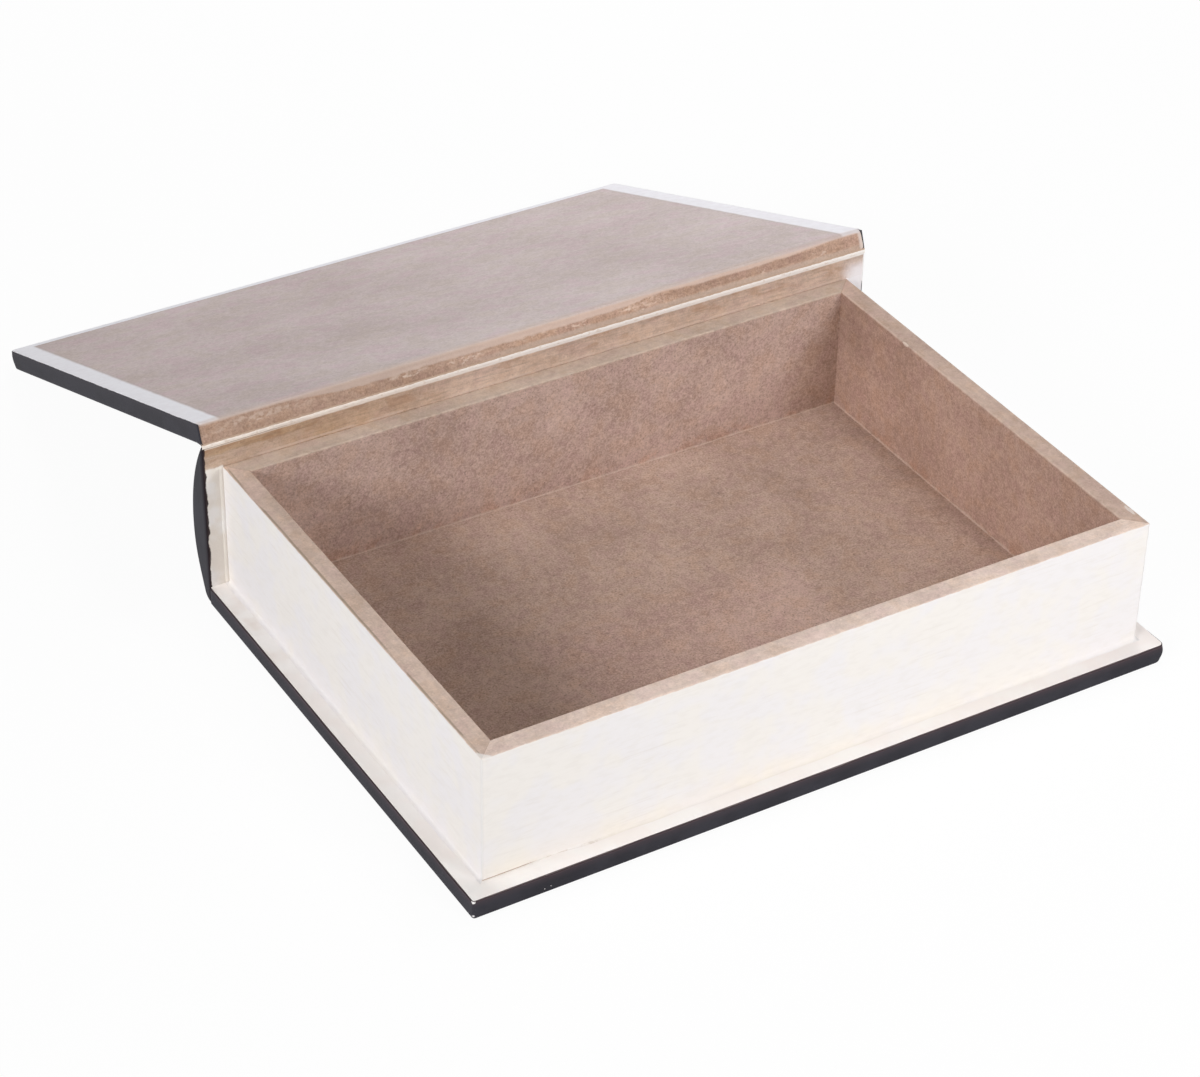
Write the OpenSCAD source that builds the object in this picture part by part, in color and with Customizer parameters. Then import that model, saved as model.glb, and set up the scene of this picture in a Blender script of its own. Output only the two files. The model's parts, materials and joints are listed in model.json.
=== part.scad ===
// Book box: a shallow tray of mitred walls between two hinged cover boards, with a rounded spine.
// Origin at the centre of the base board's underside, +X along the spine, +Y towards the spine, +Z up.
// The lid is drawn opened right back, with its fore edge resting on the table behind the box.

/* [Tray] */
// Outer length of the tray, along the spine
tray_l = 284; // [120:1:420]
// Outer depth of the tray, from the fore edge to the spine
tray_d = 202; // [100:1:300]
// Height of the tray walls above the base board
wall_h = 54; // [25:1:110]
// Thickness of the four tray walls
wall_t = 8; // [4:0.5:14]
// Radius that eases the two arrises of the rim
rim_r = 0.6; // [0.2:0.1:1.5]

/* [Cover boards] */
// Thickness of the base board
base_t = 8; // [5:0.5:14]
// Thickness of the lid board
lid_t = 8; // [5:0.5:14]
// How far the boards stand out past the tray at the fore edge
fore_overhang = 8; // [3:0.5:16]
// How far the boards and the spine stand out past the tray at the head and tail
end_overhang = 8; // [3:0.5:16]
// Radius of the covered outer arrises
arris_r = 2.2; // [1.2:0.1:3.5]
// Radius of the boards' two fore corners, seen from above
corner_r = 1.6; // [1.2:0.1:6]

/* [Spine] */
// Thickness of the spine board at its fullest line
spine_t = 12.4; // [8:0.2:18]
// Thickness of the spine board at its top edge
spine_top_t = 1; // [0.6:0.1:3]
// How far the fullest line lies below the middle of the spine's height
crown_drop = 4; // [0:0.5:6]

/* [Covering and hinge] */
// Thickness of the covering
cover_t = 0.4; // [0.3:0.05:0.6]
// Width of the covering left free between the spine and the lid, which bends as the hinge
hinge_w = 1.8; // [1:0.1:4]
// Air between the spine and the lid's hinge side
joint_gap = 0.3; // [0.2:0.05:0.6]
// Air between the rim and the closed lid
lid_gap = 0.2; // [0.1:0.05:1]

/* [Hidden] */

// Facets of the small arcs and of the spine's long arc
$fn = 48;
back_fn = 240;
// How far a cutting body passes the face that it cuts
cut = 1;

// Plan of the boards
half_l = tray_l / 2 + end_overhang;
board_d = tray_d + fore_overhang;
fore_y = -board_d / 2;
spine_y = board_d / 2;
tray_fore_y = fore_y + fore_overhang;

// Levels, from the table up
floor_z = cover_t + base_t;
rim_z = floor_z + wall_h;
lid_under_z = rim_z + lid_gap;
lid_top_z = lid_under_z + lid_t + cover_t;
spine_top_z = lid_top_z + hinge_w;

// The arc of the spine's back, over the covering
crown_z = spine_top_z / 2 - crown_drop;
crown_rise = spine_top_z - crown_z;
crown_sag = spine_t - spine_top_t;
back_r = (crown_rise * crown_rise + crown_sag * crown_sag) / (2 * crown_sag);
back_y = spine_y + spine_t + cover_t - back_r;
// Centre of the round that joins the arc to the spine's foot
foot_y = back_y + sqrt(pow(back_r - arris_r, 2) - pow(crown_z - arris_r, 2));

// The line that the hinge turns about, along the top of the free strip
strip_r = cover_t / 2;
hinge_y = spine_y - joint_gap - strip_r;
hinge_z = spine_top_z - strip_r;

// How far the lid opens past level before its fore arris meets the table
lid_reach = hinge_y - fore_y - arris_r;
lid_drop = hinge_z - lid_top_z + arris_r;
past_level = asin((hinge_z - arris_r) / norm([lid_reach, lid_drop])) + atan2(lid_drop, lid_reach);
open_angle = 180 + past_level;

// A rectangle from the origin, with the corners listed in "at" rounded; [1, 0] is far along X, near along Y
module eased_rect(size, r, at) {
  difference() {
    square(size);
    for (corner = at)
      translate([corner[0] * (size[0] - r), corner[1] * (size[1] - r)])
        square(r);
  }
  for (corner = at)
    intersection() {
      translate([corner[0] * (size[0] - 2 * r) + r, corner[1] * (size[1] - 2 * r) + r])
        circle(r);
      translate([corner[0] * (size[0] - r), corner[1] * (size[1] - r)])
        square(r);
    }
}

// Extrudes a Y-Z section along X, over the whole length less an inset at each end
module along_spine(inset) {
  translate([inset - half_l, 0, 0])
    rotate([90, 0, 90])
      linear_extrude(2 * (half_l - inset))
        children();
}

// A cover board lying outside face down, its arrises eased on the three free edges.
// It is drawn "inset" inside the covering's outer face, t thick, up to the edge at end_y.
module cover_block(inset, t, end_y) {
  width = 2 * (half_l - inset);
  depth = end_y - fore_y - inset;
  r = arris_r - inset;
  intersection() {
    translate([0, fore_y + inset, inset])
      along_spine(inset)
        eased_rect([depth, t], r, [[0, 0]]);
    translate([-width / 2, end_y, inset])
      rotate([90, 0, 0])
        linear_extrude(depth)
          eased_rect([width, t], r, [[0, 0], [1, 0]]);
    translate([-width / 2, fore_y + inset, inset])
      linear_extrude(t)
        eased_rect([width, depth], corner_r - inset, [[0, 0], [1, 0]]);
  }
}

// The covering of such a board: under its face and up its three free edges
module cover_skin(t, end_y) {
  difference() {
    cover_block(0, t + cover_t, end_y);
    cover_block(cover_t, t + cut, end_y + cut);
  }
}

// Section of the spine: flat towards the tray, an arc behind, with the foot rounded into it
module spine_section(inset) {
  foot = [foot_y, arris_r];
  outward = [foot_y - back_y, arris_r - crown_z] / (back_r - arris_r);
  wedge = [foot, foot - [0, 2 * arris_r], foot + [2, -2] * arris_r, foot + 2 * arris_r * outward];
  difference() {
    intersection() {
      translate([back_y, crown_z])
        circle(back_r - inset, $fn = back_fn);
      translate([spine_y, inset])
        square([spine_t + cover_t, spine_top_z - 2 * inset]);
    }
    polygon(wedge);
  }
  intersection() {
    translate(foot)
      circle(arris_r - inset);
    polygon(wedge);
  }
}

// Turns the lid from its closed place to where it lies opened
module opened() {
  translate([0, hinge_y, hinge_z])
    rotate([-open_angle, 0, 0])
      translate([0, -hinge_y, -hinge_z])
        children();
}

// Turns a board lying outside face down over to the lid's closed place
module as_lid() {
  opened()
    translate([0, 0, lid_top_z])
      mirror([0, 0, 1])
        children();
}

// A tray wall: its section, eased at the rim, run past both mitres and cut by its plan
module wall(length, plan) {
  intersection() {
    translate([-length / 2, 0, floor_z])
      rotate([90, 0, 90])
        linear_extrude(length)
          eased_rect([wall_t, wall_h], rim_r, [[0, 1], [1, 1]]);
    translate([0, 0, floor_z - cut])
      linear_extrude(wall_h + 2 * cut)
        polygon(plan);
  }
}

// A wall of the given length along X, its outer face at Y = 0, mitred at both ends
module mitred_wall(length) {
  half = length / 2;
  wall(length, [[-half, 0], [half, 0], [half - wall_t, wall_t], [wall_t - half, wall_t]]);
}

module base_board() {
  color("tan")
    cover_block(cover_t, base_t, spine_y);
}

module base_covering() {
  color("dimgray")
    cover_skin(base_t, spine_y);
}

module spine_board() {
  color("tan")
    along_spine(cover_t)
      spine_section(cover_t);
}

// Over the back, the top edge, the foot and both ends; the face towards the tray stays bare
module spine_covering() {
  color("dimgray")
    difference() {
      along_spine(0)
        spine_section(0);
      along_spine(cover_t)
        spine_section(cover_t);
    }
}

module fore_edge_wall() {
  color("antiquewhite")
    translate([0, tray_fore_y, 0])
      mitred_wall(tray_l);
}

module spine_side_wall() {
  color("burlywood")
    translate([0, spine_y, 0])
      rotate([0, 0, 180])
        mitred_wall(tray_l);
}

module head_wall() {
  color("antiquewhite")
    translate([tray_l / 2, tray_fore_y + tray_d / 2, 0])
      rotate([0, 0, 90])
        mitred_wall(tray_d);
}

module tail_wall() {
  color("antiquewhite")
    translate([-tray_l / 2, tray_fore_y + tray_d / 2, 0])
      rotate([0, 0, -90])
        mitred_wall(tray_d);
}

module lid_board() {
  color("rosybrown")
    as_lid()
      cover_block(cover_t, lid_t, spine_y - joint_gap);
}

module lid_covering() {
  color("dimgray")
    as_lid()
      cover_skin(lid_t, spine_y - joint_gap);
}

// The free strip of covering, which stands on the lid's hinge arris and turns about its rounded top
module hinge_strip() {
  color("ivory")
    opened()
      along_spine(0) {
        translate([hinge_y - strip_r, lid_top_z])
          square([cover_t, hinge_z - lid_top_z]);
        translate([hinge_y, hinge_z])
          circle(strip_r);
      }
}

base_board();
base_covering();
spine_board();
spine_covering();
fore_edge_wall();
spine_side_wall();
head_wall();
tail_wall();
lid_board();
lid_covering();
hinge_strip();
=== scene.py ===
"""Book box: raw fibreboard boards and tray, page edges painted white, charcoal covering, cream hinge.

The box is drawn in millimetres, which add_piece turns to metres; the camera, floor and lamps are in
metres.
"""

import json
import math
from collections import namedtuple

import bmesh
import bpy
from mathutils import Matrix, Vector, noise


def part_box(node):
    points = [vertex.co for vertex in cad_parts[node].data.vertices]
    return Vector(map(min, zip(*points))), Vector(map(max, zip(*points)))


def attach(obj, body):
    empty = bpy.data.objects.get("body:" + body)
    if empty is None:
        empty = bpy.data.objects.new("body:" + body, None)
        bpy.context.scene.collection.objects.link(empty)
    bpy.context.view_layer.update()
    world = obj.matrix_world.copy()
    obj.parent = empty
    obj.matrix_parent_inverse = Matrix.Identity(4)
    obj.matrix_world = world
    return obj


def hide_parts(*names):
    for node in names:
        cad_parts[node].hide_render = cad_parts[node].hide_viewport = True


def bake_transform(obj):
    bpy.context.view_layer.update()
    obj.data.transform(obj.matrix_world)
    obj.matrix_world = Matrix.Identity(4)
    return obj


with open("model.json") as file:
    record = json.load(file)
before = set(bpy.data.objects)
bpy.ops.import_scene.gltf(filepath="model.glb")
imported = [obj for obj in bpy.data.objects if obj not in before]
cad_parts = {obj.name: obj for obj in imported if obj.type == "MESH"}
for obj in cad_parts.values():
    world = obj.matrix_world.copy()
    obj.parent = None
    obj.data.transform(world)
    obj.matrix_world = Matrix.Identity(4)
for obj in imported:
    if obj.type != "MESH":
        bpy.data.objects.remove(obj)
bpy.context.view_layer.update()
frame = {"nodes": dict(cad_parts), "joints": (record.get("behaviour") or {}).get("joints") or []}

MM = 0.001


def box_of(node):
    """Lowest and highest corner of a node."""
    low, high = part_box(node)
    return low / MM, high / MM


def box_round(points):
    """Lowest and highest corner of the box round some points."""
    return [Vector([end(point[axis] for point in points) for axis in range(3)]) for end in (min, max)]


base_lo, base_hi = box_of("base_board")
skin_lo, skin_hi = box_of("base_covering")
front_lo, front_hi = box_of("fore_edge_wall")
back_hi = box_of("spine_side_wall")[1]
spine_lo = box_of("spine_board")[0]
case_hi = box_of("spine_covering")[1]

SKIN = base_lo.z - skin_lo.z
HALF_LENGTH = skin_hi.x
FORE_Y = skin_lo.y
SPINE_Y = spine_lo.y
FLOOR_Z = base_hi.z
RIM_Z = front_hi.z
TRAY_HALF = front_hi.x
TRAY_FORE_Y = front_lo.y
WALL = front_hi.y - front_lo.y

hinge = frame["joints"][0]
HINGE_AT = Vector(hinge["pos_m"]) / MM
OPEN_ANGLE = math.radians(hinge["range_deg"][1] - hinge["range_deg"][0])
OPENING = (
    Matrix.Translation(HINGE_AT)
    @ Matrix.Rotation(-OPEN_ANGLE, 4, Vector(hinge["axis"]))
    @ Matrix.Translation(-HINGE_AT)
)


def shut_box(node):
    """Lowest and highest corner of a lid node with the lid turned down onto the tray."""
    closing = OPENING.inverted()
    return box_round([closing @ (v.co / MM) for v in frame["nodes"][node].data.vertices])


def back_arc():
    """Height of the spine's fullest line, and the radius and centre of its back, read from the frame."""
    vertices = [v.co / MM for v in frame["nodes"]["spine_covering"].data.vertices]
    fullest = [p.z for p in vertices if p.y > case_hi.y - 0.02]
    edge_y = max(p.y for p in vertices if p.z > case_hi.z - 0.01)
    crown_z = (min(fullest) + max(fullest)) / 2
    rise = case_hi.z - crown_z
    sag = case_hi.y - edge_y
    radius = (rise * rise + sag * sag) / (2 * sag)
    return crown_z, radius, case_hi.y - radius


lid_lo, lid_hi = shut_box("lid_board")
lid_skin_hi = shut_box("lid_covering")[1]
CROWN_Z, BACK_RADIUS, BACK_Y = back_arc()

# Radii of the outer arrises: the softest, and each board's at its ends and at its fore edge
ARRIS = 2.2
BASE_ARRISES = (1.1, 1.1)
LID_ARRISES = (1.1, ARRIS)

# Radii of the fore corners in plan: sharp in mid thickness, and each board's where they are worn most,
# at the tail and at the head
SHARP_CORNER = 0.9
BASE_CORNERS = (1.3, 3.2)
LID_CORNERS = (3.0, 3.2)

# The tray: radii of its outer corners, of its rim and of the paint at its foot, and the height of a
# row of its page lines and their depth
TRAY_ARRIS = 0.5
RIM_ROUND = 0.6
PAINT_FILLET = 1.5
PAGE_ROW = 0.32
PAGE_DEPTH = 0.04

# How raggedly the coverings were trimmed, round the base and round the lid
BASE_TRIM = 0.5
LID_TRIM = 0.15

# The lid: radius of its inner arris at the hinge, and its white borders at the ends and the fore edge
HINGE_ARRIS = 1.6
END_BORDER = 9.0
FORE_BORDER = 5.0

# The hinge strip: its seat on the spine's top edge, its width over the lid, how far it tucks under
# the lid's covering, and how much of the lid's end arrises it follows
SEAT = 0.2
TURNED_OVER = 8.6
TUCKED_UNDER = 0.5
FLATTENED = 0.75

# Radius of the round that joins the spine's back to its foot
SPINE_FOOT = 5.5

# Roughness of raw board, and how much smoother its paint is
RAW_ROUGHNESS = 0.8
PAINT_SHEEN = 0.22


def tint(red, green, blue):
    """A colour given as it looks on a screen, 0 to 255, as the linear colour that a shader takes."""
    shares = [channel / 255 for channel in (red, green, blue)]
    linear = [s / 12.92 if s <= 0.04045 else ((s + 0.055) / 1.055) ** 2.4 for s in shares]
    return (*linear, 1.0)


def scaled(colour, share):
    """A linear colour made darker or lighter."""
    return (*[channel * share for channel in colour[:3]], 1.0)


RAW = tint(191, 166, 152)
GOLDEN = tint(211, 189, 173)
SAWN = tint(192, 163, 144)
BLACK = tint(54, 53, 59)
CREAM = tint(255, 245, 235)
PALE_CREAM = tint(255, 251, 247)


def camera():
    """The photograph's view: from the tail's fore corner, about 35 degrees down, with a long lens."""
    place = Vector((-0.57477, -0.8843, 0.78895))
    turn = math.radians(31.246)
    dip = math.radians(35.255)
    roll = math.radians(1.163)
    ahead = Vector((math.sin(turn) * math.cos(dip), math.cos(turn) * math.cos(dip), -math.sin(dip)))
    data = bpy.data.cameras.new("camera")
    data.lens = 102.726
    data.sensor_width = 36
    data.clip_start = 0.05
    data.clip_end = 60
    eye = bpy.data.objects.new("camera", data)
    bpy.context.scene.collection.objects.link(eye)
    facing = ahead.to_track_quat("-Z", "Y").to_matrix().to_4x4()
    eye.matrix_world = Matrix.Translation(place) @ facing @ Matrix.Rotation(roll, 4, "Z")
    bpy.context.scene.camera = eye


class Wire:
    """An output socket. Python's operators on wires and numbers add the Math nodes."""

    def __init__(self, finish, socket):
        self.finish = finish
        self.socket = socket

    def math(self, operation, first, second=None):
        """A Math node on one or two wires or numbers."""
        inputs = {0: first}
        if second is not None:
            inputs[1] = second
        return self.finish.node("Math", {"operation": operation}, inputs)

    def __add__(self, other):
        return self.math("ADD", self, other)

    def __radd__(self, other):
        return self.math("ADD", other, self)

    def __sub__(self, other):
        return self.math("SUBTRACT", self, other)

    def __rsub__(self, other):
        return self.math("SUBTRACT", other, self)

    def __mul__(self, other):
        return self.math("MULTIPLY", self, other)

    def __rmul__(self, other):
        return self.math("MULTIPLY", other, self)

    def __abs__(self):
        return self.math("ABSOLUTE", self)

    def least(self, other):
        return self.math("MINIMUM", self, other)

    def most(self, other):
        return self.math("MAXIMUM", self, other)

    def ramp(self, low, high):
        """0 below low, 1 above high, smooth between; the other way round where low is the larger."""
        inputs = {"Value": self, "From Min": min(low, high), "From Max": max(low, high)}
        rising = self.finish.node("MapRange", {"interpolation_type": "SMOOTHSTEP"}, inputs)
        return 1 - rising if low > high else rising

    def band(self, middle, half_width, soft):
        """1 within half_width of a middle value, falling to 0 over the soft width beyond it."""
        return abs(self - middle).ramp(half_width + soft, half_width)


class Finish:
    """One material in the making."""

    def __init__(self, name, tree=None):
        if tree is None:
            self.material = bpy.data.materials.new(name)
            self.material.use_nodes = True
            tree = self.material.node_tree
        self.tree = tree
        self.tree.nodes.clear()

    def node(self, kind, settings=None, inputs=None, output=0):
        """Adds a node: its settings first, then the values or wires of its sockets."""
        node = self.tree.nodes.new("ShaderNode" + kind)
        for key, value in (settings or {}).items():
            setattr(node, key, value)
        for key, value in (inputs or {}).items():
            if isinstance(value, Wire):
                self.tree.links.new(value.socket, node.inputs[key])
            else:
                node.inputs[key].default_value = value
        return Wire(self, node.outputs[output] if len(node.outputs) else None)

    def vector_math(self, operation, first, second):
        """A Vector Math node on two vectors."""
        return self.node("VectorMath", {"operation": operation}, {0: first, 1: second})

    def place(self, shut=False):
        """Where a point lies, in millimetres, on a lid piece as if the lid were shut."""
        spot = self.node("TexCoord", output="Object")
        spot = self.node("VectorMath", {"operation": "SCALE"}, {0: spot, "Scale": 1 / MM})
        if shut:
            turn = {"Vector": spot, "Center": HINGE_AT, "Angle": OPEN_ANGLE}
            spot = self.node("VectorRotate", {"rotation_type": "X_AXIS"}, turn)
        return spot

    def axes(self, vector):
        """The three numbers of a vector."""
        return [self.node("SeparateXYZ", None, {0: vector}, axis) for axis in range(3)]

    def stretched(self, vector, x=1.0, y=1.0, z=1.0):
        """A place squeezed along an axis, which draws a pattern out along it."""
        return self.vector_math("MULTIPLY", vector, (x, y, z))

    def grain(self, vector, size, detail=2.0, distortion=0.0, roughness=0.5):
        """Soft noise, about 0.5 on average, whose patches are about size millimetres wide."""
        inputs = {
            "Vector": vector,
            "Scale": 1 / size,
            "Detail": detail,
            "Roughness": roughness,
            "Distortion": distortion,
        }
        return self.node("TexNoise", None, inputs)

    def blot(self, place, centre, size, ragged=0.9):
        """1 within a ragged blot of size (x, y, z) round a centre, 0 outside it."""
        offset = self.vector_math("SUBTRACT", place, centre)
        share = self.vector_math("DIVIDE", offset, size)
        reach = self.node("VectorMath", {"operation": "LENGTH"}, {0: share}, "Value")
        edge = self.grain(place, max(size) * 0.5, 3) - 0.5
        return (reach + edge * ragged).ramp(1.0, 0.75)

    def mixed(self, mask, first, second, mode="MIX"):
        """The first colour where the mask is 0, the second, or their blend, where it is 1."""
        # A Mix node takes its colours at inputs 6 and 7 and gives one at output 2
        settings = {"data_type": "RGBA", "blend_type": mode}
        return self.node("Mix", settings, {0: mask, 6: first, 7: second}, 2)

    def shaded(self, mask, colour, shade):
        """A colour multiplied by a shade where the mask is 1."""
        return self.mixed(mask, colour, shade, "MULTIPLY")

    def bump(self, height, depth):
        """Relief depth millimetres high where height goes from 0 to 1."""
        return self.node("Bump", None, {"Height": height, "Distance": depth * MM, "Strength": 1.0})

    def done(self, colour, roughness, normal, specular):
        """Feeds the surface and returns the material."""
        inputs = {
            "Base Color": colour,
            "Roughness": roughness,
            "Normal": normal,
            "Specular IOR Level": specular,
        }
        surface = self.node("BsdfPrincipled", None, inputs)
        self.node("OutputMaterial", None, {"Surface": surface})
        return self.material


def raw_board(finish, place, colour, grit=0.95):
    """Raw fibreboard: clouds of shade and hue, matted fibres, pale strands and dark flecks.

    grit is how strongly the finest grain shows. Returns the colour and the height.
    """
    clouds = finish.grain(place, 30, 3)
    mottle = finish.grain(place, 3.2, 4, 0.4, 0.65)
    grain = finish.grain(place, 0.75, 2, 0.3)
    shade = (clouds - 0.5) * 0.5 + (mottle - 0.5) * 0.6 + (grain - 0.5) * grit
    lightness = shade.ramp(-0.42, 0.42)
    board = finish.mixed(lightness, scaled(colour, 0.68), scaled(colour, 1.28))
    board = finish.shaded(1 - lightness, board, tint(255, 246, 242))
    hue = finish.grain(place, 9, 4)
    board = finish.shaded(hue.ramp(0.50, 0.62) * 0.4, board, tint(255, 247, 236))
    board = finish.shaded(hue.ramp(0.50, 0.38) * 0.5, board, tint(250, 244, 250))
    strands = finish.grain(finish.stretched(place, x=0.3, z=0.6), 0.9, 2, 1.5)
    board = finish.mixed(strands.ramp(0.62, 0.74) * 0.35, board, scaled(colour, 1.45))
    flecks = finish.grain(place, 1.1, 1)
    board = finish.mixed(flecks.ramp(0.67, 0.76) * grit * 0.6, board, scaled(colour, 0.4))
    return board, grain * 0.6 + mottle * 0.4


def page_paint(finish, place, along):
    """White paint over page lines that run along one axis. Returns its colour and height."""
    lines = finish.grain(finish.stretched(place, **{along: 0.03}), 0.8, 3, 0.15, 0.6)
    clouds = finish.grain(place, 26, 2)
    hue = finish.grain(place, 15, 2)
    white = finish.mixed(hue.ramp(0.38, 0.62), tint(244, 240, 240), tint(246, 241, 236))
    brushed = finish.grain(finish.stretched(place, **{along: 0.3}), 1.8, 4, 0.2)
    white = finish.mixed(brushed.ramp(0.46, 0.66) * 0.2, white, tint(232, 226, 220))
    showing = lines.ramp(0.52, 0.76) * clouds.ramp(0.35, 0.62)
    white = finish.mixed(showing * 0.2, white, tint(214, 203, 192))
    return white, lines


# A tray wall: its node and slot, the seed of its unevenness, half its length, the axis that it runs
# along, its turn in degrees and the middle of its foot, the colour of its rim and what that is
# multiplied by inside (the inside's own tone, with painted light and shade that differs wall by
# wall), the strength and colour of its mitre joints, and what adds its own marks and painted shade
Wall = namedtuple("Wall", "node slot seed half along angle foot rim_colour inner_shade mitre marks")


class WallFinish(Finish):
    """A tray wall's material in the making, with the places and masks that its parts share."""

    def __init__(self, wall):
        super().__init__(wall.node)
        self.wall = wall
        self.spot = self.place()
        self.x, self.y, self.z = self.axes(self.spot)
        # How far in from the tray's ends, from its long sides, and from its painted faces
        self.from_end = TRAY_HALF - abs(self.x)
        self.from_side = (self.y - TRAY_FORE_Y).least(SPINE_Y - self.y)
        self.from_face = self.from_end.least(self.y - TRAY_FORE_Y)
        self.wander = self.grain(self.spot, 3.5, 3) - 0.5
        self.inside = self.z.ramp(RIM_Z - 0.2, RIM_Z - 0.9)
        self.sanded = self.grain(self.stretched(self.spot, **{wall.along: 0.07}), 1.6, 3, 0.3)

    def painted_face(self):
        """1 on the outer face, up to a wandering line just under the rim."""
        painted = (self.from_face + self.wander * 0.5).ramp(0.5, 0.2)
        return painted * (self.z + self.wander * 0.5).ramp(RIM_Z - 0.15, RIM_Z - 0.5)

    def bare_board(self):
        """Raw board, sanded along the rim, with arrises paler from wear and from a painted highlight, mitre
        joints and stains at its foot.

        Returns the colour and the height.
        """
        rim_colour = self.wall.rim_colour
        raw, height = raw_board(self, self.spot, rim_colour, 0.3 + self.inside * 0.6)
        # Inside the rim the board takes its own tone, with painted light and shade that differs wall by wall
        raw = self.shaded(self.inside, raw, self.wall.inner_shade)
        on_rim = 1 - self.inside
        raw = self.mixed(self.sanded.ramp(0.45, 0.62) * on_rim * 0.25, raw, scaled(rim_colour, 0.8))
        # The arrises are paler: worn fibres, with a painted highlight where they catch the light
        across = self.from_end.least(self.from_side)
        arrises = across.ramp(0.95, 0.4).most(across.ramp(WALL - 0.95, WALL - 0.4))
        worn = arrises * self.z.ramp(RIM_Z - 1.1, RIM_Z - 0.6) * self.wander.ramp(-0.12, 0.1)
        raw = self.mixed(worn * 0.3, raw, tint(232, 208, 190))
        mitre = (self.from_end - self.from_side).band(0, 0.15, 0.3) * on_rim
        strength, joint_colour = self.wall.mitre
        raw = self.mixed(mitre * strength, raw, joint_colour)
        spots = self.grain(self.spot, 9, 3)
        stain = (self.z + self.wander * 4).ramp(FLOOR_Z + 7, FLOOR_Z + 1) * spots.ramp(0.46, 0.58)
        return self.shaded(stain * 0.3, raw, tint(246, 222, 208)), height

    def page_edges(self):
        """White paint over page lines, greyed by painted shade on the corner's arris. Returns its colour and
        height.
        """
        white, height = page_paint(self, self.spot, self.wall.along)
        # Painted shade on the corner's arris, greying it
        corner = (self.from_end + self.from_side).ramp(0.9, 0.3)
        return self.mixed(corner * 0.5, white, tint(222, 219, 218)), height

    def painted_tip(self):
        """Paint carried over the rim at the corner between the fore edge and the tail."""
        from_corner = self.from_end + self.from_side + self.x * 0.01 + self.wander * 2
        tip = from_corner.ramp(3.6, 2.2)
        return tip * self.x.ramp(0, -1) * self.y.ramp(0, -1) * 0.75


def fore_edge_marks(finish, raw, white, painted):
    """The joint under the wall stands open at the tail, and the paint is creamier low down."""
    x, z, wander = finish.x, finish.z, finish.wander
    foot = (z + wander * 0.2).ramp(FLOOR_Z + 0.5, FLOOR_Z + 0.3)
    broken = (wander.ramp(0.04, 0.14) * 0.35).most(x.ramp(-119, -124))
    white = finish.mixed(foot * broken * x.ramp(-84, -106), white, tint(178, 154, 134))
    patches = finish.grain(finish.spot, 30, 2)
    creamy = (z + patches * 10).ramp(FLOOR_Z + 16, FLOOR_Z + 5) * x.ramp(130, -10)
    white = finish.shaded(creamy, white, tint(254, 252, 248))
    return raw, white, painted.most(finish.painted_tip())


def spine_side_shadow(finish, raw, white, painted):
    """Painted shadow of the head wall: the board is darker beside it, in a band that widens towards its foot.
    """
    # Painted shadow that the head wall casts across this board's inside
    lower = (RIM_Z - finish.z).least(30)
    head_wall_shadow = (finish.x + finish.wander * 10 + lower).ramp(132, 150) * finish.inside
    return finish.shaded(head_wall_shadow, raw, tint(239, 235, 229)), white, painted


def head_marks_and_shade(finish, raw, white, painted):
    """Painted shade darkens the board beside the spine, and the rim has a chip and a smear of paint."""
    # Painted shade in the corner beside the spine, in the upper half of the wall
    spine_corner_shade = (finish.y + finish.wander * 10).ramp(58, 88)
    spine_corner_shade = spine_corner_shade * finish.z.ramp(RIM_Z - 34, RIM_Z - 18) * finish.inside
    raw = finish.shaded(spine_corner_shade, raw, tint(232, 231, 229))
    chip = finish.blot(finish.spot, (133.8, 51.0, RIM_Z), (1.2, 2.2, 1.4))
    raw = finish.mixed(chip * 0.6, raw, tint(233, 216, 202))
    smear = finish.blot(finish.spot, (140.6, -86.5, RIM_Z), (0.9, 3.6, 1.5))
    return raw, white, painted.most(smear * 0.5)


def tail_marks(finish, raw, white, painted):
    """The paint is a trace greyer, and a dark line runs along the sanded rim beside it."""
    white = finish.shaded(1.0, white, tint(253, 253, 254))
    line = finish.from_face.band(0.75, 0.25, 0.4) * finish.z.ramp(RIM_Z - 0.6, RIM_Z - 0.2)
    raw = finish.mixed(line * finish.sanded.ramp(0.4, 0.55) * 0.6, raw, tint(138, 124, 104))
    return raw, white, painted.most(finish.painted_tip())


def wall_finish(wall):
    """A tray wall: painted outside up to the rim's arris, raw board inside and on the rim."""
    finish = WallFinish(wall)
    raw, raw_height = finish.bare_board()
    white, line_height = finish.page_edges()
    raw, white, painted = wall.marks(finish, raw, white, finish.painted_face())
    glue = (finish.z + finish.wander * 2.6).ramp(FLOOR_Z + 0.9, FLOOR_Z + 0.3)
    raw = finish.mixed(glue * 0.45, raw, tint(208, 186, 170))
    colour = finish.mixed(painted, raw, white)
    height = raw_height * (1 - painted) + line_height * painted * 0.4
    return finish.done(colour, RAW_ROUGHNESS - painted * PAINT_SHEEN, finish.bump(height, 0.12), 0.2)


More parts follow.
